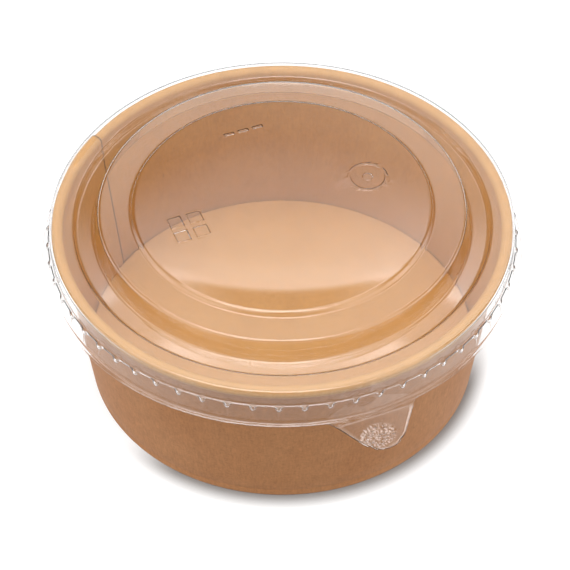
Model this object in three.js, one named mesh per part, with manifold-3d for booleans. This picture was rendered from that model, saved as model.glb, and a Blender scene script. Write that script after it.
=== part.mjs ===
// A round kraft-paper salad bowl with its clear lid pressed on. The bowl is a rolled-rim side wall
// whose folded bottom edge grips a sunk base disc. The lid is one thermoformed sheet: a raised
// centre panel, a stepped dome, a cap over the rolled rim, a skirt with a ring of lugs and a
// narrow flange with a pull tab. The bowl stands on +Z, and the tab points to -Y.

import * as THREE from "three";
import { mergeVertices } from "three/addons/utils/BufferGeometryUtils.js";
import Module from "manifold-3d";

// Driving dimensions, in millimetres and degrees.
const FACETS = 80; // sides of every round form
const GAP = 0.3; // between neighbouring pieces

const PAPER = 0.45; // board thickness
const BASE_RADIUS = 64.7; // outside of the wall where it meets the table
const WALL_SLOPE = 0.1206; // outward lean of the wall: radius gained per height
const RIM_RADIUS = 74.85; // outside of the rolled rim
const ROLL_RADIUS = 1.9; // of the roll's round section
const ROLL_HEIGHT = 60.5; // of the middle of the roll
const ROLL_TURN = 300; // how far the paper curls round
const FLOOR_HEIGHT = 6.6; // top face of the base disc
const FOLD_RADIUS = 0.45; // rounding of the bottom edge
const SEAM_ANGLE = 126.9; // where the wall's two ends lap, seen from above, from +X
const SEAM_WIDTH = 7;
const SEAM_STEP = 0.3; // how far the lapped end stands proud inside

const SHEET = 0.35; // lid thickness
const PANEL_RADIUS = 48.3; // raised centre panel
const PANEL_HEIGHT = 69.95; // of its edge
const PANEL_CROWN = 0.65; // how far its middle stands above its edge
const DOME_RADIUS = 59.5; // top edge of the dome's steep wall
const DOME_HEIGHT = 68.6; // flat ring round the centre panel
const CHANNEL_RADIUS = 61.3; // foot of the steep wall
const CHANNEL_HEIGHT = 61.4; // floor of the channel inside the rim cap
const CAP_INNER_RADIUS = 66.75; // outer edge of the channel
const CAP_HEIGHT = 63.1; // flat over the rolled rim
const CAP_RADIUS = 75.55; // upper skirt
const LEDGE_HEIGHT = 56;
const LEDGE_WIDTH = 0.6;
const FLANGE_HEIGHT = 50.6;
const FLANGE_INNER_RADIUS = 77.05;
const FLANGE_RADIUS = 78.35;

const LUG_COUNT = 60;
const LUG_ANGLE = 1.95; // of the first lug from +X
const LUG_TOP_WIDTH = 2.2;
const LUG_FOOT_WIDTH = 1.2;
const LUG_HEIGHT = 1.9;
const LUG_REACH = 1.3; // outward of the upper skirt

const TAB_ROOT_WIDTH = 29.1;
const TAB_END_WIDTH = 10.9;
const TAB_LENGTH = 12.3; // beyond the flange, along the tab
const TAB_BULGE = 1.4; // how far the end curves out between its corners
const TAB_DROOP = 15.8; // degrees below level

const MARK_TOP = 0.1; // raised marks: above the centre panel's middle
const MARK_DEPTH = 0.49; // from a mark's top down into the sheet
const DASH = { x: 0, y: 35.4, length: 3.6, width: 1.3, pitch: 5 };
const RING = { x: 30, y: 0.3, radius: 6.6, width: 1.1, dot: 1.7 };
const GRID = { x: -32, y: 0, side: 4.6, pitch: 6.6 };

const wasm = await Module();
wasm.setup();

const radians = THREE.MathUtils.degToRad;

// A closed geometry as a solid for joining and cutting.
function solidOf(geometry) {
  geometry.deleteAttribute("normal");
  geometry.deleteAttribute("uv");
  const merged = mergeVertices(geometry, 1e-4);
  return new wasm.Manifold(
    new wasm.Mesh({
      numProp: 3,
      vertProperties: merged.attributes.position.array,
      triVerts: new Uint32Array(merged.index.array),
    }),
  );
}

// A solid as a named mesh with its own material.
function meshOf(name, solid, material) {
  const { vertProperties, triVerts } = solid.getMesh();
  const geometry = new THREE.BufferGeometry()
    .setAttribute("position", new THREE.BufferAttribute(vertProperties, 3))
    .setIndex(new THREE.BufferAttribute(triVerts, 1));
  geometry.computeVertexNormals();
  const mesh = new THREE.Mesh(geometry, material);
  mesh.name = name;
  return mesh;
}

// A profile of [radius, height] pairs turned round Z. It closes on itself, or starts and ends on
// the axis.
function revolve(profile) {
  const points = profile.map(([r, z]) => new THREE.Vector2(r, z));
  if (profile[0][0] > 0) points.push(points[0].clone());
  return solidOf(
    new THREE.LatheGeometry(points, FACETS).rotateX(Math.PI / 2),
  );
}

// Points of an arc in a profile, both ends included.
function arc(r, z, radius, from, to, steps) {
  return Array.from({ length: steps + 1 }, (_, i) => {
    const angle = radians(from + ((to - from) * i) / steps);
    return [r + radius * Math.cos(angle), z + radius * Math.sin(angle)];
  });
}

// The same profile moved sideways by a distance, to the right of its direction of travel.
function offset(profile, distance) {
  const at = profile.map(([r, z]) => new THREE.Vector2(r, z));
  const normals = at.slice(1).map((p, i) => {
    const along = p.clone().sub(at[i]).normalize();
    return new THREE.Vector2(along.y, -along.x);
  });
  return at.map((p, i) => {
    const before = normals[Math.max(i - 1, 0)];
    const after = normals[Math.min(i, normals.length - 1)];
    const middle = before.clone().add(after).normalize();
    return p
      .clone()
      .addScaledVector(middle, distance / middle.dot(after))
      .toArray();
  });
}

// A flat outline, extruded upwards from a height.
function prism(shape, bottom, depth, curveSegments = 6) {
  const settings = { depth, bevelEnabled: false, curveSegments };
  return solidOf(
    new THREE.ExtrudeGeometry(shape, settings).translate(0, 0, bottom),
  );
}

// Outside radius of the wall's straight part.
const wallRadius = (z) => BASE_RADIUS + WALL_SLOPE * z;

// The side wall: up the outside, round inside the roll, back round its outside, down the inside
// and round the hem that is folded up behind the base disc's skirt.
function makeSideWall() {
  const rollMiddle = RIM_RADIUS - ROLL_RADIUS;
  const neckRadius = rollMiddle - ROLL_RADIUS;
  const neckHeight = (neckRadius + PAPER - BASE_RADIUS) / WALL_SLOPE;
  const curl = (radius, from, to, steps) =>
    arc(rollMiddle, ROLL_HEIGHT, radius, from, to, steps);
  const hemOuter = 2 * (PAPER + GAP); // in from the wall's outside
  const hemTop = FLOOR_HEIGHT - PAPER - GAP;
  const profile = [
    ...arc(BASE_RADIUS - FOLD_RADIUS, FOLD_RADIUS, FOLD_RADIUS, -90, 0, 2),
    [neckRadius + PAPER, neckHeight],
    ...curl(ROLL_RADIUS - PAPER, 180, 180 - ROLL_TURN, 7),
    ...curl(ROLL_RADIUS, 180 - ROLL_TURN, 180, 9),
    [neckRadius, neckHeight],
    [wallRadius(PAPER) - PAPER, PAPER],
    [wallRadius(PAPER) - hemOuter, PAPER],
    [wallRadius(hemTop) - hemOuter, hemTop],
    [wallRadius(hemTop) - hemOuter - PAPER, hemTop],
    [BASE_RADIUS - hemOuter - PAPER, 0],
  ];

  // The lapped end is a strip that runs up the inside, from the floor to the roll.
  const lapFoot = FLOOR_HEIGHT + GAP;
  const lapRing = revolve([
    [wallRadius(lapFoot) - PAPER / 2, lapFoot],
    [neckRadius + PAPER / 2, neckHeight],
    [neckRadius + PAPER / 2, ROLL_HEIGHT],
    [neckRadius - SEAM_STEP, ROLL_HEIGHT - SEAM_STEP],
    [neckRadius - SEAM_STEP, neckHeight],
    [wallRadius(lapFoot) - PAPER - SEAM_STEP, lapFoot],
  ]);
  const strip = solidOf(
    new THREE.BoxGeometry(RIM_RADIUS, SEAM_WIDTH, 2 * RIM_RADIUS)
      .translate(RIM_RADIUS / 2, 0, 0)
      .rotateZ(radians(SEAM_ANGLE)),
  );
  return revolve(profile).add(lapRing.intersect(strip));
}

// The base disc: a flat floor whose edge turns down between the wall and the hem.
function makeBaseDisc() {
  const skirtOuter = PAPER + GAP; // in from the wall's outside
  const foot = PAPER + GAP;
  const under = FLOOR_HEIGHT - PAPER;
  return revolve([
    [0, under],
    [wallRadius(under) - skirtOuter - PAPER, under],
    [wallRadius(foot) - skirtOuter - PAPER, foot],
    [wallRadius(foot) - skirtOuter, foot],
    [wallRadius(under) - skirtOuter, under],
    [wallRadius(FLOOR_HEIGHT) - skirtOuter - PAPER, FLOOR_HEIGHT],
    [0, FLOOR_HEIGHT],
  ]);
}

// The upper face of the lid, from its middle to the edge of the flange.
function lidFace() {
  const ledgeRadius = CAP_RADIUS + 0.1; // the upper skirt leans out a little
  return [
    [0, PANEL_HEIGHT + PANEL_CROWN],
    [33, PANEL_HEIGHT + 0.77 * PANEL_CROWN],
    [PANEL_RADIUS - 0.4, PANEL_HEIGHT],
    [PANEL_RADIUS + 0.4, PANEL_HEIGHT - 0.4],
    [PANEL_RADIUS + 1, DOME_HEIGHT],
    [DOME_RADIUS - 0.8, DOME_HEIGHT],
    [DOME_RADIUS, DOME_HEIGHT - 0.6],
    [CHANNEL_RADIUS, CHANNEL_HEIGHT],
    [CAP_INNER_RADIUS, CHANNEL_HEIGHT],
    [CAP_INNER_RADIUS + 1.1, CAP_HEIGHT],
    ...arc(CAP_RADIUS - 1.5, CAP_HEIGHT - 1.5, 1.5, 90, 0, 3),
    [ledgeRadius, LEDGE_HEIGHT],
    [ledgeRadius + LEDGE_WIDTH, LEDGE_HEIGHT - 0.2],
    [FLANGE_INNER_RADIUS, FLANGE_HEIGHT],
    [FLANGE_RADIUS, FLANGE_HEIGHT],
  ];
}

// One lug: a small tooth that stands out under the ledge and narrows downwards.
function makeLug(index) {
  const top = LUG_TOP_WIDTH / 2;
  const foot = LUG_FOOT_WIDTH / 2;
  const face = new THREE.Shape([
    new THREE.Vector2(-foot, -LUG_HEIGHT),
    new THREE.Vector2(foot, -LUG_HEIGHT),
    new THREE.Vector2(top, 0),
    new THREE.Vector2(-top, 0),
  ]);
  const inner = CAP_RADIUS - SHEET / 2;
  return prism(face, 0, CAP_RADIUS + LUG_REACH - inner)
    .rotate([90, 0, 90])
    .translate([inner, 0, LEDGE_HEIGHT])
    .rotate([0, 0, LUG_ANGLE + (360 * index) / LUG_COUNT]);
}

// The pull tab: a strip that bends down at the flange's edge, cut to the tab's outline.
function makeTab() {
  const cosine = Math.cos(radians(TAB_DROOP));
  const rootWidth = TAB_ROOT_WIDTH / 2;
  const endWidth = TAB_END_WIDTH / 2;
  const root = Math.sqrt(FLANGE_RADIUS ** 2 - rootWidth ** 2);
  const corner = FLANGE_RADIUS + (TAB_LENGTH - TAB_BULGE) * cosine;
  const bend = [
    [root, FLANGE_HEIGHT],
    [FLANGE_RADIUS, FLANGE_HEIGHT],
    [
      FLANGE_RADIUS + 2 * TAB_LENGTH * cosine,
      FLANGE_HEIGHT - 2 * TAB_LENGTH * Math.sin(radians(TAB_DROOP)),
    ],
  ];
  const section = [...bend, ...offset(bend, SHEET).reverse()];
  const toTab = new THREE.Matrix4().makeBasis(
    new THREE.Vector3(0, -1, 0),
    new THREE.Vector3(0, 0, 1),
    new THREE.Vector3(-1, 0, 0),
  );
  const strip = solidOf(
    new THREE.ExtrudeGeometry(
      new THREE.Shape(section.map(([r, z]) => new THREE.Vector2(r, z))),
      { depth: TAB_ROOT_WIDTH, bevelEnabled: false },
    )
      .applyMatrix4(toTab)
      .translate(rootWidth, 0, 0),
  );

  const outline = new THREE.Shape();
  outline.moveTo(rootWidth, -root);
  outline.lineTo(-rootWidth, -root);
  outline.lineTo(-endWidth, -corner);
  outline.quadraticCurveTo(0, -corner - 2 * TAB_BULGE * cosine, endWidth, -corner);
  outline.closePath();
  return strip.intersect(prism(outline, 0, PANEL_HEIGHT, 8));
}

// Generic raised marks on the centre panel: a row of dashes, a ring with a dot, four squares.
function makeMarks() {
  const middle = PANEL_HEIGHT + PANEL_CROWN + MARK_TOP - MARK_DEPTH / 2;
  const block = (x, y, width, length) =>
    solidOf(new THREE.BoxGeometry(width, length, MARK_DEPTH).translate(x, y, middle));
  const disc = (radius, sides) =>
    solidOf(
      new THREE.CylinderGeometry(radius, radius, MARK_DEPTH, sides)
        .rotateX(Math.PI / 2)
        .translate(RING.x, RING.y, middle),
    );
  const marks = [-1, 0, 1].map((i) =>
    block(DASH.x + i * DASH.pitch, DASH.y, DASH.length, DASH.width),
  );
  marks.push(disc(RING.radius, 24).subtract(disc(RING.radius - RING.width, 24)));
  marks.push(disc(RING.dot, 10));
  for (const i of [-0.5, 0.5])
    for (const j of [-0.5, 0.5])
      marks.push(
        block(GRID.x + i * GRID.pitch, GRID.y + j * GRID.pitch, GRID.side, GRID.side),
      );
  return marks;
}

function makeLid() {
  const face = lidFace();
  const underside = offset(face, SHEET);
  underside[0][0] = 0;
  const sheet = revolve([...underside, ...face.reverse()]);
  const lugs = Array.from({ length: LUG_COUNT }, (_, i) => makeLug(i));
  return wasm.Manifold.union([sheet, ...lugs, makeTab(), ...makeMarks()]);
}

const kraftPaper = () =>
  new THREE.MeshStandardMaterial({ color: 0xb98a5e, roughness: 0.75, metalness: 0 });
const clearPlastic = () =>
  new THREE.MeshStandardMaterial({
    color: 0xe8ecec,
    roughness: 0.08,
    metalness: 0,
    transparent: true,
    opacity: 0.3,
  });

const saladBowl = new THREE.Group();
saladBowl.add(
  meshOf("side_wall", makeSideWall(), kraftPaper()),
  meshOf("base_disc", makeBaseDisc(), kraftPaper()),
  meshOf("lid", makeLid(), clearPlastic()),
);

// The origin is on the table under the middle of the outline, so the tab's reach moves the bowl
// back by half of what it adds.
const tabReach = TAB_LENGTH * Math.cos(radians(TAB_DROOP));
saladBowl.position.y = tabReach / 2;

export default saladBowl;
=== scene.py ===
import math

import bmesh
import bpy
from mathutils import Matrix, Vector, noise


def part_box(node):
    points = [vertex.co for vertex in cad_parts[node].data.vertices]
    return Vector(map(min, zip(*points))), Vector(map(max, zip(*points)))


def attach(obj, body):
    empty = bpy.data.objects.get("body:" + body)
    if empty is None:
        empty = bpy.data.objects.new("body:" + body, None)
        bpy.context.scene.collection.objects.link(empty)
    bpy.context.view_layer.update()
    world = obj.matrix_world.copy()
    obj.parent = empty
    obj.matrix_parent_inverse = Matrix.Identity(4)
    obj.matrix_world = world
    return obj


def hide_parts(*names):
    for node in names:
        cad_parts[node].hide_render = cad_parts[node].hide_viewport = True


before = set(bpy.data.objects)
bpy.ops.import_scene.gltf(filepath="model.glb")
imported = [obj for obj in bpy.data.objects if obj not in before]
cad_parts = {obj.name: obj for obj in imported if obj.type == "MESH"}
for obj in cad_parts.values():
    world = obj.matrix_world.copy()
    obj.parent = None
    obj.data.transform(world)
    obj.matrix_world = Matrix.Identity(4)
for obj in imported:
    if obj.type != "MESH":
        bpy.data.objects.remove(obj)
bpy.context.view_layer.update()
scene = bpy.context.scene
mm = 0.001

wallLow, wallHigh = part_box("side_wall")
bowlAxis = Vector(((wallLow.x + wallHigh.x) / 2, (wallLow.y + wallHigh.y) / 2, 0))


def smoothStep(low, high, value):
    t = min(max((value - low) / (high - low), 0.0), 1.0)
    return t * t * (3 - 2 * t)


def drawProfile(bm, points, segments=3, hold=0.15):
    # points are (radius, height, corner cut) in millimetres; the cut rounds that corner,
    # and a held point just past it keeps the run beside it straight
    held = [points[0]]
    for (r0, z0, cut0), (r1, z1, cut1) in zip(points, points[1:]):
        run = math.hypot(r1 - r0, z1 - z0)
        if cut0 + cut1 and cut0 + cut1 + 3 * hold < run:
            for share in [(cut0 + hold) / run] * (cut0 > 0) + [1 - (cut1 + hold) / run] * (cut1 > 0):
                held.append((r0 + (r1 - r0) * share, z0 + (z1 - z0) * share, 0))
        held.append((r1, z1, cut1))
    verts = [bm.verts.new((r * mm, 0, z * mm)) for r, z, cut in held]
    for a, b in zip(verts, verts[1:]):
        bm.edges.new((a, b))
    cuts = {}
    for v, (r, z, cut) in zip(verts, held):
        if cut:
            cuts.setdefault(cut, []).append(v)
    for cut, corner in cuts.items():
        bmesh.ops.bevel(bm, geom=corner, offset=cut * mm, offset_type="OFFSET",
                        segments=segments, profile=0.5, affect="VERTICES", material=-1)


def spinRound(bm, steps, angle=360.0):
    full = abs(angle - 360) < 1e-6
    bmesh.ops.spin(bm, geom=bm.verts[:] + bm.edges[:], cent=(0, 0, 0), axis=(0, 0, 1),
                   angle=math.radians(angle), steps=steps, use_merge=full)
    if full:
        bmesh.ops.remove_doubles(bm, verts=bm.verts, dist=0.001 * mm)


def turnRound(bm, verts, degrees):
    bmesh.ops.rotate(bm, verts=verts, cent=(0, 0, 0),
                     matrix=Matrix.Rotation(math.radians(degrees), 3, "Z"))


def faceToward(bm, wanted):
    # recalculated first, then turned round if the sheet's widest faces look the other way
    bmesh.ops.recalc_face_normals(bm, faces=bm.faces)
    agree = sum(f.calc_area() * f.normal.dot(wanted(f.calc_center_median())) for f in bm.faces)
    if agree < 0:
        bmesh.ops.reverse_faces(bm, faces=bm.faces)
    bm.normal_update()


def radiusOf(point):
    return math.hypot(point.x, point.y) / mm


def angleOf(point):
    return math.degrees(math.atan2(point.y, point.x)) % 360


def makePiece(name, bm, thickness=0.0, sharpAngle=35, backSlot=0):
    # a thickness grows behind the faces, and what it adds takes the back slot's material
    mesh = bpy.data.meshes.new(name)
    bm.to_mesh(mesh)
    bm.free()
    piece = bpy.data.objects.new(name, mesh)
    scene.collection.objects.link(piece)
    if thickness:
        shell = piece.modifiers.new("thickness", "SOLIDIFY")
        shell.thickness = thickness * mm
        shell.offset = -1
        shell.use_even_offset = True
        shell.use_quality_normals = True
        bpy.context.view_layer.update()
        graph = bpy.context.evaluated_depsgraph_get()
        solid = bpy.data.meshes.new_from_object(piece.evaluated_get(graph))
        for face in solid.polygons[len(mesh.polygons):]:
            face.material_index = backSlot
        bm = bmesh.new()
        bm.from_mesh(solid)
        bmesh.ops.triangulate(bm, faces=[f for f in bm.faces if len(f.verts) > 4])
        bm.to_mesh(solid)
        bm.free()
        piece.modifiers.clear()
        piece.data = solid
        bpy.data.meshes.remove(mesh)
        solid.name = name
    piece.data.polygons.foreach_set("use_smooth", [True] * len(piece.data.polygons))
    piece.data.set_sharp_from_angle(angle=math.radians(sharpAngle))
    return piece


def newMaterial(name):
    material = bpy.data.materials.new(name)
    material.use_nodes = True
    nodes = material.node_tree.nodes
    nodes.clear()
    output = nodes.new("ShaderNodeOutputMaterial")
    shader = nodes.new("ShaderNodeBsdfPrincipled")
    material.node_tree.links.new(shader.outputs["BSDF"], output.inputs["Surface"])
    return material, nodes, material.node_tree.links, shader, output


def newGroup(name, inputs, outputs):
    group = bpy.data.node_groups.new(name, "ShaderNodeTree")
    for label, value in inputs.items():
        kind = "NodeSocketVector" if value is None else "NodeSocketFloat"
        socket = group.interface.new_socket(name=label, in_out="INPUT", socket_type=kind)
        if value is not None:
            socket.default_value = value
    for label in outputs:
        group.interface.new_socket(name=label, in_out="OUTPUT", socket_type="NodeSocketFloat")
    inside = group.nodes.new("NodeGroupInput").outputs
    outside = group.nodes.new("NodeGroupOutput").inputs
    return group, inside, outside


def feed(tree, node, *values):
    # links sockets to the node's inputs in turn, or sets plain numbers on them
    for socket, value in zip(node.inputs, values):
        if isinstance(value, bpy.types.NodeSocket):
            tree.links.new(value, socket)
        else:
            socket.default_value = value
    return node.outputs[0]


def maths(tree, operation, *values):
    node = tree.nodes.new("ShaderNodeMath")
    node.operation = operation
    return feed(tree, node, *values)


# camera at the photograph's angle
cameraPlan = {
    "azimuth": -21.3,
    "elevation": 46.72,
    "distance": 0.9,
    "target": 0.030,  # height on the bowl's axis
    "lens": 170.62,
    "shift": (0.0051, 0.0035),
}

viewTurn = math.radians(cameraPlan["azimuth"])
towardCamera = Vector((math.sin(viewTurn), -math.cos(viewTurn), 0))


def makeCamera():
    plan = cameraPlan
    rise = math.radians(plan["elevation"])
    target = bowlAxis + Vector((0, 0, plan["target"]))
    offset = towardCamera * math.cos(rise) + Vector((0, 0, math.sin(rise)))
    data = bpy.data.cameras.new("viewCamera")
    data.lens = plan["lens"]
    data.sensor_width = 36
    data.shift_x, data.shift_y = plan["shift"]
    data.clip_start, data.clip_end = 0.05, 50
    camera = bpy.data.objects.new("viewCamera", data)
    camera.location = target + offset * plan["distance"]
    camera.rotation_euler = (-offset).to_track_quat("-Z", "Y").to_euler()
    scene.collection.objects.link(camera)
    scene.camera = camera


makeCamera()
print("camera ready")


# side wall: one sheet of board, lapped at the seam, with a rolled rim and a folded foot
wallPlan = {
    "board": 0.45,
    "baseRadius": 64.7,
    "slope": 0.1206,
    "rimRadius": 74.85,
    "rollRadius": 1.9,
    "rollHeight": 60.5,
    "rollTurn": 300,
    "rollSteps": 24,
    "hemTop": 5.85,
    "hemIn": 1.5,  # inner side of the folded hem, in from the outside of the wall
    "footCut": 0.25,  # rounding where the board folds under
    "creaseHeight": 3.2,  # the press leaves a faint line round the foot
    "creaseHalf": 0.35,
    "creaseDepth": 0.1,
    "neckCut": 1.5,  # rounding where the wall runs into the roll
    "seamAngle": 126.9,
    "lap": 5.5,  # degrees that the two ends overlap
    "lapIn": 0.3,
    "lapOut": 0.22,
    "lapFade": (1, 12),  # degrees past the lap over which the wall settles again
    "footTop": 8,  # below this height the lap's ends part level and upward
    "liftFade": (0.5, 4),
    "shadedEdgeWidth": 0.9,  # of the dark strip along a cut edge: raw pulp, and painted shadow of the lap's step
    "columns": 320,
    "rows": 10,
}


def wallOutside(height):
    return wallPlan["baseRadius"] + wallPlan["slope"] * height


def makeSideWall():
    plan = wallPlan
    board = plan["board"]
    crease, creaseHalf = plan["creaseHeight"], plan["creaseHalf"]
    rollMiddle = plan["rimRadius"] - plan["rollRadius"]
    neck = rollMiddle - plan["rollRadius"]
    neckHeight = (neck + board - plan["baseRadius"]) / plan["slope"]
    points = [
        (wallOutside(plan["hemTop"]) - plan["hemIn"], plan["hemTop"], 0),
        (wallOutside(board) - plan["hemIn"], board, plan["footCut"]),
        (wallOutside(board) - board, board, plan["footCut"]),
        (wallOutside(crease - creaseHalf) - board, crease - creaseHalf, 0),
        (wallOutside(crease) - board - plan["creaseDepth"], crease, 0),
        (wallOutside(crease + creaseHalf) - board, crease + creaseHalf, 0),
        (neck, neckHeight, plan["neckCut"]),
    ]
    for i in range(plan["rollSteps"] + 1):
        turn = math.radians(180 - plan["rollTurn"] * i / plan["rollSteps"])
        points.append((rollMiddle + plan["rollRadius"] * math.cos(turn),
                       plan["rollHeight"] + plan["rollRadius"] * math.sin(turn), 0))
    bm = bmesh.new()
    rawEdgeAndShade = bm.verts.layers.float.new("rawEdgeAndShade")
    drawProfile(bm, points)
    longest = max(bm.edges, key=lambda e: e.calc_length())
    bmesh.ops.subdivide_edges(bm, edges=[longest], cuts=plan["rows"])
    turnRound(bm, bm.verts, plan["seamAngle"])
    ring = len(bm.verts)
    total = 360 + plan["lap"]
    spinRound(bm, plan["columns"], total)
    faceToward(bm, lambda place: Vector((-place.x, -place.y, 0)))
    bm.verts.index_update()

    # the first end lies inside and the last one outside, each off the middle of the sheet;
    # at the foot the first also lies above the last, and on the hem only the last one moves
    apart = plan["lapIn"] + plan["lapOut"]
    near, far = plan["lapFade"]
    columns = [[] for i in range(plan["columns"] + 1)]
    for v in bm.verts:
        columns[v.index // ring].append(v)
    for i, column in enumerate(columns):
        turned = i * total / plan["columns"]
        inner = 1 - smoothStep(plan["lap"] + near, plan["lap"] + far, turned)
        outer = smoothStep(360 - far, 360 - near, turned)
        for v in column:
            radius, height = radiusOf(v.co), v.co.z / mm
            # each cut end of the sheet is marked for a dark strip: raw pulp, with painted shadow of the
            # lap's step
            v[rawEdgeAndShade] = 1.0 if i in (0, plan["columns"]) else 0.0
            if height > plan["footTop"]:
                v.co += v.normal * (inner * plan["lapIn"] - outer * plan["lapOut"]) * mm
                continue
            fold = 1 - smoothStep(-plan["hemIn"], -board, radius - wallOutside(height))
            out = (1 - fold) * (outer * plan["lapOut"] - inner * plan["lapIn"]) - fold * outer * apart
            v.co.x *= 1 + out / radius
            v.co.y *= 1 + out / radius
            v.co.z += inner * apart * (1 - smoothStep(*plan["liftFade"], height)) * mm
    narrow = math.degrees(plan["shadedEdgeWidth"] / plan["rimRadius"])
    turnRound(bm, columns[1], narrow - total / plan["columns"])
    turnRound(bm, columns[-2], total / plan["columns"] - narrow)
    bmesh.ops.translate(bm, verts=bm.verts, vec=bowlAxis)
    return makePiece("sideWall", bm, thickness=board, backSlot=1)


# base disc: a flat floor whose edge is turned down between the wall and its hem
discPlan = {
    "height": 6.6,
    "skirtFoot": 1.2,
    "clear": 0.3,  # from the wall's inner face
    "cornerCut": 0.9,
    "columns": 192,
}


def makeBaseDisc():
    plan = discPlan

    def edge(height):
        return wallOutside(height) - wallPlan["board"] - plan["clear"]

    bm = bmesh.new()
    drawProfile(bm, [
        (0, plan["height"], 0),
        (edge(plan["height"]) * 0.5, plan["height"], 0),
        (edge(plan["height"]), plan["height"], plan["cornerCut"]),
        (edge(plan["skirtFoot"]), plan["skirtFoot"], 0),
    ], segments=4)
    spinRound(bm, plan["columns"])
    faceToward(bm, lambda place: Vector((0, 0, 1)))
    bmesh.ops.translate(bm, verts=bm.verts, vec=bowlAxis)
    return makePiece("baseDisc", bm, thickness=wallPlan["board"], backSlot=1)


# lid: one formed sheet, from the crowned centre panel to the flange and its pull tab
lidPlan = {
    "sheet": 0.35,
    "panelHeight": 69.95,
    "crownRadius": 47.5,  # up to the rounding of the panel's edge
    "crown": 0.65,
    "top": 70.68,  # nothing on the lid stands higher
    "stepsPerLug": 6,
    "flangeRadius": 78.35,
    "flangeFall": 4.4,  # degrees that the flange slopes down outwards
}

# radius, height, corner cut
lidProfile = [
    (0, 69.95, 0),
    (22, 69.95, 0),
    (39, 69.95, 0),
    (48.3, 69.95, 0.8),
    (49.3, 68.47, 0.35),  # the flats outside the panel rise slightly outward
    (59.5, 68.76, 0.9),
    (61.3, 61.4, 0.7),
    (66.75, 60.98, 0.5),
    (67.85, 62.75, 0.5),
    (75.55, 62.92, 0.9),
    (75.65, 57.3, 0.12),
    (76.2, 57.15, 0.12),
    (76.466, 55.1, 0),  # below the lugs
    (77.05, 50.6, 0.5),
    (77.95, 50.54, 0.15),
    (78.35, 50.38, 0),
]

# stretches of the profile that need more rows: two radii, two heights, cuts
finerRuns = [
    ((0, 22), (69.95, 69.95), 3),
    ((22, 39), (69.95, 69.95), 8),  # under the marks
    ((39, 47.4), (69.95, 69.95), 2),
    ((59.7, 61.2), (62.1, 67.7), 2),
    ((76.2, 76.47), (55.1, 56.9), 7),  # under the lugs
]


def splitRun(bm, radii, heights, cuts, slack=0.01):
    def within(value, ends):
        return ends[0] - slack < value < ends[1] + slack

    run = [e for e in bm.edges
           if all(within(v.co.x / mm, radii) and within(v.co.z / mm, heights) for v in e.verts)]
    bmesh.ops.subdivide_edges(bm, edges=run, cuts=cuts)


def makeLidSheet():
    plan = lidPlan
    bm = bmesh.new()
    drawProfile(bm, lidProfile)
    for radii, heights, cuts in finerRuns:
        splitRun(bm, radii, heights, cuts)

    # one lug's share of the ring, then the rest of the ring from it
    pitch = 360 / lugPlan["count"]
    turnRound(bm, bm.verts, -pitch / 2)
    spinRound(bm, plan["stepsPerLug"], pitch)
    shapeLug(bm)
    bmesh.ops.spin(bm, geom=bm.verts[:] + bm.edges[:] + bm.faces[:], cent=(0, 0, 0),
                   axis=(0, 0, 1), angle=math.radians(360 - pitch),
                   steps=lugPlan["count"] - 1, use_duplicate=True)
    bmesh.ops.remove_doubles(bm, verts=bm.verts, dist=0.01 * mm)
    turnRound(bm, bm.verts, lugPlan["angle"])

    for mark in lidMarks:
        refineMark(bm, mark)
    for v in bm.verts:  # the centre panel is slightly crowned and carries the marks
        share = radiusOf(v.co) / plan["crownRadius"]
        if share < 1:
            height = plan["panelHeight"] + plan["crown"] * (1 - share ** 4) + markRise(v.co)
            v.co.z = min(height, plan["top"]) * mm
    drawTab(bm)
    faceToward(bm, lambda place: Vector((0, 0, 1)))
    bmesh.ops.translate(bm, verts=bm.verts, vec=bowlAxis)
    return makePiece("lidSheet", bm, thickness=plan["sheet"], sharpAngle=60)


lugPlan = {
    "count": 60,
    "angle": 1.95,  # middle of the first lug, from +X
    "reach": 0.65,
    "halfWidth": 1.15,
    "top": 57.18,
    "depth": 1.9,
    "inside": 76.05,  # radius where the ledge's outer edge starts
    "zoneHalf": 1.4,  # the mesh is finer this far to either side
    "zoneBelow": 0.2,
    "cuts": 4,
    "ledgeSwell": 0.8,  # share of the reach up at the ledge itself
    "swellDepth": 0.3,
}


def shapeLug(bm):
    # a rounded tooth that swells out of the lower skirt, just under the ledge
    plan = lugPlan

    def place(v):
        radius = radiusOf(v.co)
        return radius, math.atan2(v.co.y, v.co.x) * radius, plan["top"] - v.co.z / mm

    def near(v):
        radius, across, depth = place(v)
        return (radius > plan["inside"] and abs(across) < plan["zoneHalf"]
                and depth < plan["depth"] + plan["zoneBelow"])

    acrossEdges = [e for e in bm.edges if near(e.verts[0]) and near(e.verts[1])
                   and abs(e.verts[0].co.z - e.verts[1].co.z) < 0.01 * mm]
    bmesh.ops.subdivide_edges(bm, edges=acrossEdges, cuts=plan["cuts"])
    for v in bm.verts:
        radius, across, depth = place(v)
        fall = max(depth, 0) / plan["depth"]
        if radius < plan["inside"] or fall >= 1:
            continue
        half = plan["halfWidth"] * math.sqrt(1 - fall ** 2)
        share = 1 - (across / half) ** 2
        if share > 0:
            full = plan["ledgeSwell"]
            full += (1 - full) * smoothStep(0, plan["swellDepth"], depth)
            swell = plan["reach"] * math.sqrt(share * (1 - fall ** 2)) * full
            v.co.x *= 1 + swell / radius
            v.co.y *= 1 + swell / radius


# raised marks on the panel: a row of dashes, a ring with a dot, four squares
markPlan = {
    "rise": 0.28,
    "ramp": 0.2,  # width of the slope at a mark's outline
    "cornerRound": 0.3,
    "cuts": 3,
    "bands": (0.9, 0.32),  # then finer and finer toward the outline
}
lidMarks = [
    {"centre": (0, 35.4), "reach": 8.4, "boxes": [(-5, 0), (0, 0), (5, 0)], "half": (1.8, 0.65)},
    {"centre": (30, 0.3), "reach": 7.4, "ring": (6.05, 0.55), "dot": 1.7},
    {"centre": (-32, 0), "reach": 8.6, "half": (2.3, 2.3),
     "boxes": [(-3.3, -3.3), (3.3, -3.3), (-3.3, 3.3), (3.3, 3.3)]},
]


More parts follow.
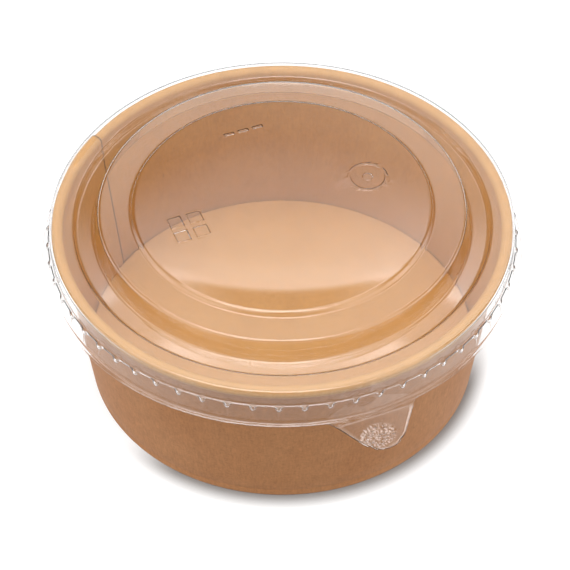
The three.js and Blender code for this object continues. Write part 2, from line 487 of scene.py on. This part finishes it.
def markDistance(mark, x, y):
    # outside the mark's outline above zero, inside it below
    found = [math.inf]
    corner = markPlan["cornerRound"]
    x, y = x - mark["centre"][0], y - mark["centre"][1]
    for bx, by in mark.get("boxes", ()):
        dx = abs(x - bx) - mark["half"][0] + corner
        dy = abs(y - by) - mark["half"][1] + corner
        found.append(math.hypot(max(dx, 0), max(dy, 0)) + min(max(dx, dy), 0) - corner)
    if "ring" in mark:
        middle, half = mark["ring"]
        found.append(abs(math.hypot(x, y) - middle) - half)
        found.append(math.hypot(x, y) - mark["dot"])
    return min(found)


def markRise(place):
    ramp = markPlan["ramp"] / 2
    away = min(markDistance(mark, place.x / mm, place.y / mm) for mark in lidMarks)
    return markPlan["rise"] * (1 - smoothStep(-ramp, ramp, away))


def refineMark(bm, mark):
    centre = Vector((*mark["centre"], 0)) * mm

    def near(place):
        return radiusOf(place - centre) < mark["reach"]

    def away(v):
        return markDistance(mark, v.co.x / mm, v.co.y / mm)

    def inside(edges):
        return [e for e in edges if near(e.verts[0].co) and near(e.verts[1].co)]

    def alongRadius(e):
        a, b = e.verts[0].co, e.verts[1].co
        return abs(radiusOf(a) - radiusOf(b)) > 0.5 * (a - b).length / mm

    long = [e for e in inside(bm.edges) if alongRadius(e)]
    bmesh.ops.subdivide_edges(bm, edges=long, cuts=markPlan["cuts"])
    for band in markPlan["bands"]:
        close = [e for e in inside(bm.edges) if min(abs(away(v)) for v in e.verts) < band]
        bmesh.ops.subdivide_edges(bm, edges=close, cuts=1, use_grid_fill=True)


# pull tab: the flange's edge drawn out and bent down along a straight crease
tabPlan = {
    "halfAngle": 10.7,
    "rootHalf": 14.55,
    "tipHalf": 5.43,
    "length": 10.89,  # from the rim to the tip's corners
    "bulge": 1.4,
    "crease": 79.1,  # distance of the crease from the axis
    "bend": 0.5,
    "droop": 15.8,
    "cornerRound": 2.0,
    "rows": 25,
    "gripMiddle": (-1.3, 85.4),
    "gripHalf": (6.2, 3.9),
    "gripZone": 1.3,  # share of the grip's oval where the mesh is finer
    "gripCuts": 2,
    "gripRise": 0.2,
    "gripSpacing": 0.9,  # between the grip's worm-like ridges
    "ridgeHalf": 0.3,
    "lipWidth": 0.5,  # of the lip round the edge
    "lipRise": 0.12,
    "lipColumns": (1, 1.6),  # of its two rows of points, in lip widths from the side
}
tabRoot = lidPlan["flangeRadius"] * math.cos(math.radians(tabPlan["halfAngle"]))
tabLevel = math.cos(math.radians(tabPlan["droop"]))
tabTip = lidPlan["flangeRadius"] + tabPlan["length"] * tabLevel
tabBulge = tabPlan["bulge"] * tabLevel


def onTab(v):
    return radiusOf(v.co) > lidPlan["flangeRadius"] + 0.01


def tabHalf(out):
    narrowing = tabPlan["tipHalf"] - tabPlan["rootHalf"]
    return tabPlan["rootHalf"] + narrowing * (out - tabRoot) / (tabTip - tabRoot)


def tabEnd(share):
    return tabTip + tabBulge * (1 - share ** 2)


def gripShare(v):
    x = (v.co.x / mm - tabPlan["gripMiddle"][0]) / tabPlan["gripHalf"][0]
    y = (-v.co.y / mm - tabPlan["gripMiddle"][1]) / tabPlan["gripHalf"][1]
    return x * x + y * y


def placeLip(bm, columns):
    # the outer columns keep the lip's width, set ahead of the finer grip
    plan = tabPlan
    first, second = plan["lipColumns"]
    lipColumns = {columns[1]: first, columns[-2]: first, columns[2]: second, columns[-3]: second}
    for v in bm.verts:
        x, out = v.co.x / mm, -v.co.y / mm
        half = tabHalf(out)
        if not onTab(v) or out <= plan["crease"]:
            continue
        column = min(lipColumns, key=lambda c: abs(c * half - x))
        if abs(column * half - x) < 0.02 * half:
            v.co.x = math.copysign(half - plan["lipWidth"] * lipColumns[column], x) * mm


def bendTab(bm):
    # rounds the tip's corners, then bends the tab down and raises the lip and the grip
    plan = tabPlan
    fall = math.tan(math.radians(plan["droop"]))
    slope = math.tan(math.radians(lidPlan["flangeFall"]))
    for v in bm.verts:
        if not onTab(v):
            continue
        x, out = abs(v.co.x) / mm, -v.co.y / mm
        half = tabHalf(out)
        fromSide, fromEnd = half - x, tabEnd(min(x / half, 1)) - out
        a, b = plan["cornerRound"] - fromSide, plan["cornerRound"] - fromEnd
        if a > 0 and b > 0:
            pull = 1 - max(a, b) / math.hypot(a, b)
            v.co.x -= math.copysign(a * pull, v.co.x) * mm
            v.co.y += b * pull * mm
        past = -v.co.y / mm - plan["crease"]
        bend = plan["bend"]
        past = 0 if past < -bend else past if past > bend else (past + bend) ** 2 / (4 * bend)
        drop = slope * (radiusOf(v.co) - lidPlan["flangeRadius"]) + (fall - slope) * past
        place = Vector((v.co.x, v.co.y, 0)) / (plan["gripSpacing"] * mm)
        ridge = 1 - smoothStep(0.0, plan["ridgeHalf"], abs(noise.noise(place)))
        drop -= plan["gripRise"] * ridge * (1 - smoothStep(0.6, 1.0, gripShare(v)))
        lip = max(1 - min(fromSide, fromEnd) / plan["lipWidth"], 0)
        drop -= plan["lipRise"] * lip * smoothStep(0, 1, out - plan["crease"])
        v.co.z -= drop * mm


def drawTab(bm):
    plan = tabPlan
    rim = lidPlan["flangeRadius"]

    def turned(place):
        return (angleOf(place) - 270 + 180) % 360 - 180

    root = [e for e in bm.edges if e.is_boundary
            and all(abs(turned(v.co)) < plan["halfAngle"] + 0.45 for v in e.verts)]
    rootVerts = sorted({v for e in root for v in e.verts}, key=lambda v: v.co.x)
    for v, side in ((rootVerts[0], -1), (rootVerts[-1], 1)):
        turn = math.radians(270 + side * plan["halfAngle"])
        v.co.x, v.co.y = rim * math.cos(turn) * mm, rim * math.sin(turn) * mm
    drawn = bmesh.ops.extrude_edge_only(bm, edges=root)["geom"]
    newVerts = [g for g in drawn if isinstance(g, bmesh.types.BMVert)]
    newEdges = [g for g in drawn if isinstance(g, bmesh.types.BMEdge)]
    for v in newVerts:
        share = v.co.x / mm / plan["rootHalf"]
        v.co.x *= plan["tipHalf"] / plan["rootHalf"]
        v.co.y = -tabEnd(share) * mm
    columns = sorted({round(v.co.x / mm / plan["tipHalf"], 3) for v in newVerts})
    sides = {e for v in newVerts for e in v.link_edges} - set(newEdges)
    bmesh.ops.subdivide_edges(bm, edges=list(sides), cuts=plan["rows"])
    placeLip(bm, columns)
    grip = [e for e in bm.edges if all(onTab(v) and gripShare(v) < plan["gripZone"] for v in e.verts)]
    bmesh.ops.subdivide_edges(bm, edges=grip, cuts=plan["gripCuts"], use_grid_fill=True)
    bendTab(bm)


sideWall = makeSideWall()
print("side wall", len(sideWall.data.polygons))
baseDisc = makeBaseDisc()
print("base disc", len(baseDisc.data.polygons))
lidSheet = makeLidSheet()
print("lid", len(lidSheet.data.polygons))


# kraft pulp: cloudy tone, fine streaks along each axis, grain and a few dark specks
fibrePlan = {
    "textures": {  # scale, stretch along each axis, detail, roughness
        "clouds": (230, (1, 1, 1), 4, 0.6),
        "patch": (55, (1, 1, 0.7), 3, 0.55),
        "upright": (1500, (1, 1, 0.16), 3, 0.6),
        "across": (1100, (0.25, 1, 1), 3, 0.65),
        "along": (1100, (1, 0.25, 1), 3, 0.65),
        "grain": (2600, (1, 1, 1), 2, 0.5),
        "specks": (1500, (1, 0.55, 1), 1, 0.5),
    },
    "levelShare": 0.6,  # of the level streaks beside the upright ones
    "grainShare": 0.5,
    "speckFrom": 0.16,
    "speckGain": 8.0,
    "patchGain": 2.2,
}


def makeFibreGroup():
    plan = fibrePlan
    group, inside, outside = newGroup(
        "kraftFibres", {"Vector": None, "Clouds": 0.05, "Fibres": 0.08, "Specks": 0.2},
        ("Tone", "Patch", "Height"))

    def texture(scale, stretch, detail, roughness):
        mapping = group.nodes.new("ShaderNodeMapping")
        mapping.inputs["Scale"].default_value = stretch
        field = group.nodes.new("ShaderNodeTexNoise")
        field.inputs["Scale"].default_value = scale
        field.inputs["Detail"].default_value = detail
        field.inputs["Roughness"].default_value = roughness
        group.links.new(inside["Vector"], mapping.inputs["Vector"])
        group.links.new(mapping.outputs["Vector"], field.inputs["Vector"])
        return maths(group, "SUBTRACT", field.outputs["Fac"], 0.5)

    pulp = {name: texture(*values) for name, values in plan["textures"].items()}
    level = maths(group, "ADD", pulp["across"], pulp["along"])
    fibres = maths(group, "MULTIPLY_ADD", level, plan["levelShare"], pulp["upright"])
    fibres = maths(group, "MULTIPLY_ADD", pulp["grain"], plan["grainShare"], fibres)
    tone = maths(group, "MULTIPLY_ADD", pulp["clouds"], inside["Clouds"], 1.0)
    tone = maths(group, "MULTIPLY_ADD", fibres, inside["Fibres"], tone)
    dark = maths(group, "MAXIMUM", maths(group, "SUBTRACT", pulp["specks"], plan["speckFrom"]), 0.0)
    dark = maths(group, "MINIMUM", maths(group, "MULTIPLY", dark, plan["speckGain"]), 1.0)
    tone = maths(group, "SUBTRACT", tone, maths(group, "MULTIPLY", dark, inside["Specks"]))
    patch = maths(group, "MULTIPLY_ADD", pulp["patch"], plan["patchGain"], 0.5)
    group.links.new(tone, outside["Tone"])
    group.links.new(patch, outside["Patch"])
    group.links.new(maths(group, "ADD", fibres, pulp["clouds"]), outside["Height"])
    return group


fibreGroup = makeFibreGroup()

kraftLook = {  # the lined side, toward the food
    "colour": (0.56, 0.29, 0.09),
    "deepColour": (0.525, 0.262, 0.076),
    "cutEdgeShadeColour": (0.07, 0.028, 0.012),  # raw pulp along a cut edge, darkened further as painted shadow of the lap's step
    "clouds": 0.2,
    "fibres": 0.32,
    "specks": 0.2,
    "roughness": 0.55,
    "specular": 0.35,
    "bumpStrength": 0.35,
    "bumpDistance": 0.00003,
}
outsideLook = {
    **kraftLook,
    "colour": (0.50, 0.232, 0.098),
    "deepColour": (0.46, 0.2, 0.078),
    "clouds": 0.26,
    "fibres": 0.45,
    "roughness": 0.62,
    "specular": 0.2,
}


def kraftMaterial(name, values):
    material, nodes, links, shader, output = newMaterial(name)
    tree = material.node_tree
    coordinates = nodes.new("ShaderNodeTexCoord")
    fibres = nodes.new("ShaderNodeGroup")
    fibres.node_tree = fibreGroup
    for label in ("Clouds", "Fibres", "Specks"):
        fibres.inputs[label].default_value = values[label.lower()]
    links.new(coordinates.outputs["Object"], fibres.inputs["Vector"])

    def blend(share, a, b):
        mix = nodes.new("ShaderNodeMix")
        mix.data_type = "RGBA"
        for label, value in (("Factor_Float", share), ("A_Color", a), ("B_Color", b)):
            socket = next(s for s in mix.inputs if s.identifier == label)
            if isinstance(value, bpy.types.NodeSocket):
                links.new(value, socket)
            else:
                socket.default_value = (*value, 1)
        return next(s for s in mix.outputs if s.identifier == "Result_Color")

    board = blend(fibres.outputs["Patch"], values["colour"], values["deepColour"])
    # along the sheet's cut ends the colour goes dark: raw pulp, and painted shadow where the lap steps
    edge = nodes.new("ShaderNodeAttribute")
    edge.attribute_name = "rawEdgeAndShade"
    colour = blend(edge.outputs["Fac"], board, values["cutEdgeShadeColour"])
    tint = nodes.new("ShaderNodeVectorMath")
    tint.operation = "SCALE"
    links.new(colour, tint.inputs[0])
    links.new(fibres.outputs["Tone"], tint.inputs["Scale"])
    links.new(tint.outputs["Vector"], shader.inputs["Base Color"])
    bump = nodes.new("ShaderNodeBump")
    bump.inputs["Strength"].default_value = values["bumpStrength"]
    bump.inputs["Distance"].default_value = values["bumpDistance"]
    links.new(fibres.outputs["Height"], bump.inputs["Height"])
    links.new(bump.outputs["Normal"], shader.inputs["Normal"])
    shader.inputs["Roughness"].default_value = values["roughness"]
    shader.inputs["Specular IOR Level"].default_value = values["specular"]
    return material


kraftInside = kraftMaterial("kraftInside", kraftLook)
kraftOutside = kraftMaterial("kraftOutside", outsideLook)
for piece in (sideWall, baseDisc):
    piece.data.materials.append(kraftInside)
    piece.data.materials.append(kraftOutside)

clearLook = {
    "tint": (1.0, 1.0, 1.0),
    "roughness": 0.03,
    "ior": 1.55,
    "passes": (0.95, 0.95, 0.95),  # what a straight ray keeps
}


def clearPlastic(name, values):
    # lamps shine straight through, so that the food side is lit as behind a thin real sheet
    material, nodes, links, shader, output = newMaterial(name)
    shader.inputs["Base Color"].default_value = (*values["tint"], 1)
    shader.inputs["Transmission Weight"].default_value = 1.0
    shader.inputs["Metallic"].default_value = 0.0
    shader.inputs["Roughness"].default_value = values["roughness"]
    shader.inputs["IOR"].default_value = values["ior"]
    path = nodes.new("ShaderNodeLightPath")
    through = nodes.new("ShaderNodeBsdfTransparent")
    through.inputs["Color"].default_value = (*values["passes"], 1)
    previous = shader.outputs["BSDF"]
    for ray in ("Is Shadow Ray", "Is Diffuse Ray"):
        mix = nodes.new("ShaderNodeMixShader")
        links.new(path.outputs[ray], mix.inputs[0])
        links.new(previous, mix.inputs[1])
        links.new(through.outputs[0], mix.inputs[2])
        previous = mix.outputs[0]
    links.new(previous, output.inputs["Surface"])
    return material


lidSheet.data.materials.append(clearPlastic("clearPlastic", clearLook))

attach(sideWall, "root")
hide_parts("side_wall")
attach(baseDisc, "root")
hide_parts("base_disc")
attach(lidSheet, "root")
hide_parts("lid")


# pale floor; the glow from below in the studio stands in for its light on the bowl
floorPlan = {
    "radius": 4.0,
    "sides": 96,
    "below": 0.00002,  # under the bowl's foot
    "colour": (0.35, 0.35, 0.35),
    "glow": 0.8,
    "shadeReach": 0.0065,  # the glow fades this close to the bowl
    "shadeFrom": 0.5,  # of the sky still open right beside it
    "shadePower": 1.2,
    "shadeRange": (-0.012, -0.034),  # it deepens toward the front
    "shadeLeast": 0.12,
}


def makeFloor():
    plan = floorPlan
    bm = bmesh.new()
    bmesh.ops.create_circle(bm, cap_ends=True, segments=plan["sides"], radius=plan["radius"])
    floor = makePiece("floor", bm)
    floor.data.transform(Matrix.Translation((0, 0, -plan["below"])))
    material, nodes, links, shader, output = newMaterial("paleFloor")
    shader.inputs["Base Color"].default_value = (*plan["colour"], 1)
    shader.inputs["Roughness"].default_value = 1.0
    shader.inputs["Specular IOR Level"].default_value = 0.0
    shader.inputs["Emission Color"].default_value = (1, 1, 1, 1)
    shade = nodes.new("ShaderNodeAmbientOcclusion")
    shade.inputs["Distance"].default_value = plan["shadeReach"]
    tree = material.node_tree
    gain = 1 / (1 - plan["shadeFrom"])
    seen = maths(tree, "MULTIPLY_ADD", shade.outputs["AO"], gain, -gain * plan["shadeFrom"])
    seen = maths(tree, "POWER", maths(tree, "MAXIMUM", seen, 0.0), plan["shadePower"])
    lost = maths(tree, "SUBTRACT", 1.0, seen)
    coordinates = nodes.new("ShaderNodeTexCoord")
    split = nodes.new("ShaderNodeSeparateXYZ")
    deepen = nodes.new("ShaderNodeMapRange")
    deepen.interpolation_type = "SMOOTHSTEP"
    deepen.inputs["From Min"].default_value = plan["shadeRange"][0]
    deepen.inputs["From Max"].default_value = plan["shadeRange"][1]
    deepen.inputs["To Min"].default_value = plan["shadeLeast"]
    links.new(coordinates.outputs["Object"], split.inputs["Vector"])
    links.new(split.outputs["Y"], deepen.inputs["Value"])
    lost = maths(tree, "MULTIPLY", lost, deepen.outputs["Result"])
    glow = maths(tree, "MULTIPLY", maths(tree, "SUBTRACT", 1.0, lost), plan["glow"])
    links.new(glow, shader.inputs["Emission Strength"])
    floor.data.materials.append(material)
    floor.visible_diffuse = False
    floor.visible_glossy = False
    floor.visible_shadow = False


# soft windows all round, in degrees as seen from the bowl: bearing 0 is straight behind it and
# grows to the right, and a window's glow fades at its low and high edges and, over "soft", its sides
studioPlan = {
    "fill": 0.05,
    "windows": {  # bearing, half width, low, high, glow, soft edges, soft
        "top": (0, 180, 79, 100, 5.4, (6, 1), 1),
        "topRing": (-130, 150, 71, 79, 3.6, (6, 6), 16),
        "left": (-120, 48, 50, 74, 2.4, (8, 8), 20),
        "leftHigh": (-50, 22, 61, 74, 2.2, (4, 8), 14),
        "right": (124, 44, 50, 74, 1.8, (8, 8), 20),
        "rightHigh": (54, 26, 61, 74, 1.2, (4, 8), 14),
        "leftMid": (-112, 44, 33, 50, 1.1, (6, 8), 30),
        "rightMid": (130, 30, 33, 50, 1.2, (6, 8), 30),
        "frontLeft": (-120, 26, 0, 33, 1.8, (4, 6), 24),
        "frontRight": (120, 26, 0, 33, 1.7, (4, 6), 24),
        "frontLow": (180, 36, 0, 50, 0.45, (4, 10), 24),
        "leftLow": (-80, 18, 0, 35, 2.0, (4, 6), 20),
        "rightLow": (80, 18, 0, 35, 2.0, (4, 6), 20),
        "backLow": (20, 24, 28, 50.3, 0.92, (10, 0.4), 40),
        "backHigh": (2, 40, 44.6, 50.5, 1.35, (6, 0.9), 20),
        "backBand": (0, 40, 47.8, 50.5, 0.35, (1.6, 0.9), 20),
        "backSpot": (6, 34, 54.4, 60, 2.2, (1.2, 2), 18),
        "spotLeft": (-27, 20, 49.5, 57, 1.5, (1, 2), 8),
        "spotRight": (27, 20, 49.5, 57, 1.3, (1, 2), 8),
        "backUnder": (0, 70, -80, -20, 1.1, (1, 10), 30),
        "backMid": (0, 26, 49, 58, 0.3, (4, 6), 16),
        "backTop": (0, 30, 61, 74, 2.2, (6, 8), 16),
        "frontUnder": (180, 90, -100, -36, 0.4, (1, 6), 30),
        "leftUnder": (-100, 40, -100, 0, 0.4, (1, 6), 30),
        "rightUnder": (100, 40, -100, 0, 0.5, (1, 6), 30),
    },
}


def makeStudio():
    plan = studioPlan
    window, inside, outside = newGroup(
        "softWindow", {"Bearing": 0, "Rise": 0, "Middle": 0, "Half": 30, "Low": 40, "High": 60,
                       "LowEdge": 2, "HighEdge": 2, "Soft": 10, "Glow": 1}, ("Light",))

    def fade(value, start, end):
        node = window.nodes.new("ShaderNodeMapRange")
        node.interpolation_type = "SMOOTHSTEP"
        return feed(window, node, value, start, end, 0.0, 1.0)

    def edge(middle, width, sign):
        return maths(window, "MULTIPLY_ADD", width, 0.5 * sign, middle)

    apart = maths(window, "SUBTRACT", inside["Bearing"], inside["Middle"])
    apart = maths(window, "ABSOLUTE", maths(window, "WRAP", apart, 180.0, -180.0))
    side = fade(apart, edge(inside["Half"], inside["Soft"], 1), edge(inside["Half"], inside["Soft"], -1))
    above = fade(inside["Rise"], edge(inside["Low"], inside["LowEdge"], -1),
                 edge(inside["Low"], inside["LowEdge"], 1))
    below = fade(inside["Rise"], edge(inside["High"], inside["HighEdge"], 1),
                 edge(inside["High"], inside["HighEdge"], -1))
    light = maths(window, "MULTIPLY", maths(window, "MULTIPLY", side, above), below)
    window.links.new(maths(window, "MULTIPLY", light, inside["Glow"]), outside["Light"])

    world = bpy.data.worlds.new("studio")
    world.use_nodes = True
    tree = world.node_tree
    sky = tree.nodes["Background"]
    direction = tree.nodes.new("ShaderNodeTexCoord").outputs["Generated"]

    def toward(axis):
        node = tree.nodes.new("ShaderNodeVectorMath")
        node.operation = "DOT_PRODUCT"
        tree.links.new(direction, node.inputs[0])
        node.inputs[1].default_value = axis
        return node.outputs["Value"]

    right = Vector((-towardCamera.y, towardCamera.x, 0))
    rise = maths(tree, "MULTIPLY", maths(tree, "ARCSINE", toward((0, 0, 1))), 180 / math.pi)
    turn = maths(tree, "ARCTAN2", toward(right), toward(-towardCamera))
    bearing = maths(tree, "MULTIPLY", turn, 180 / math.pi)
    total = plan["fill"]
    for middle, half, low, high, glow, edges, soft in plan["windows"].values():
        node = tree.nodes.new("ShaderNodeGroup")
        node.node_tree = window
        light = feed(tree, node, bearing, rise, middle, half, low, high, *edges, soft, glow)
        total = maths(tree, "ADD", light, total)
    tree.links.new(total, sky.inputs["Strength"])
    sky.inputs["Color"].default_value = (1, 1, 1, 1)
    scene.world = world


makeFloor()
makeStudio()
scene.view_settings.view_transform = "Standard"
scene.view_settings.look = "None"
scene.view_settings.exposure = 0
scene.view_settings.gamma = 1
print("stage ready")
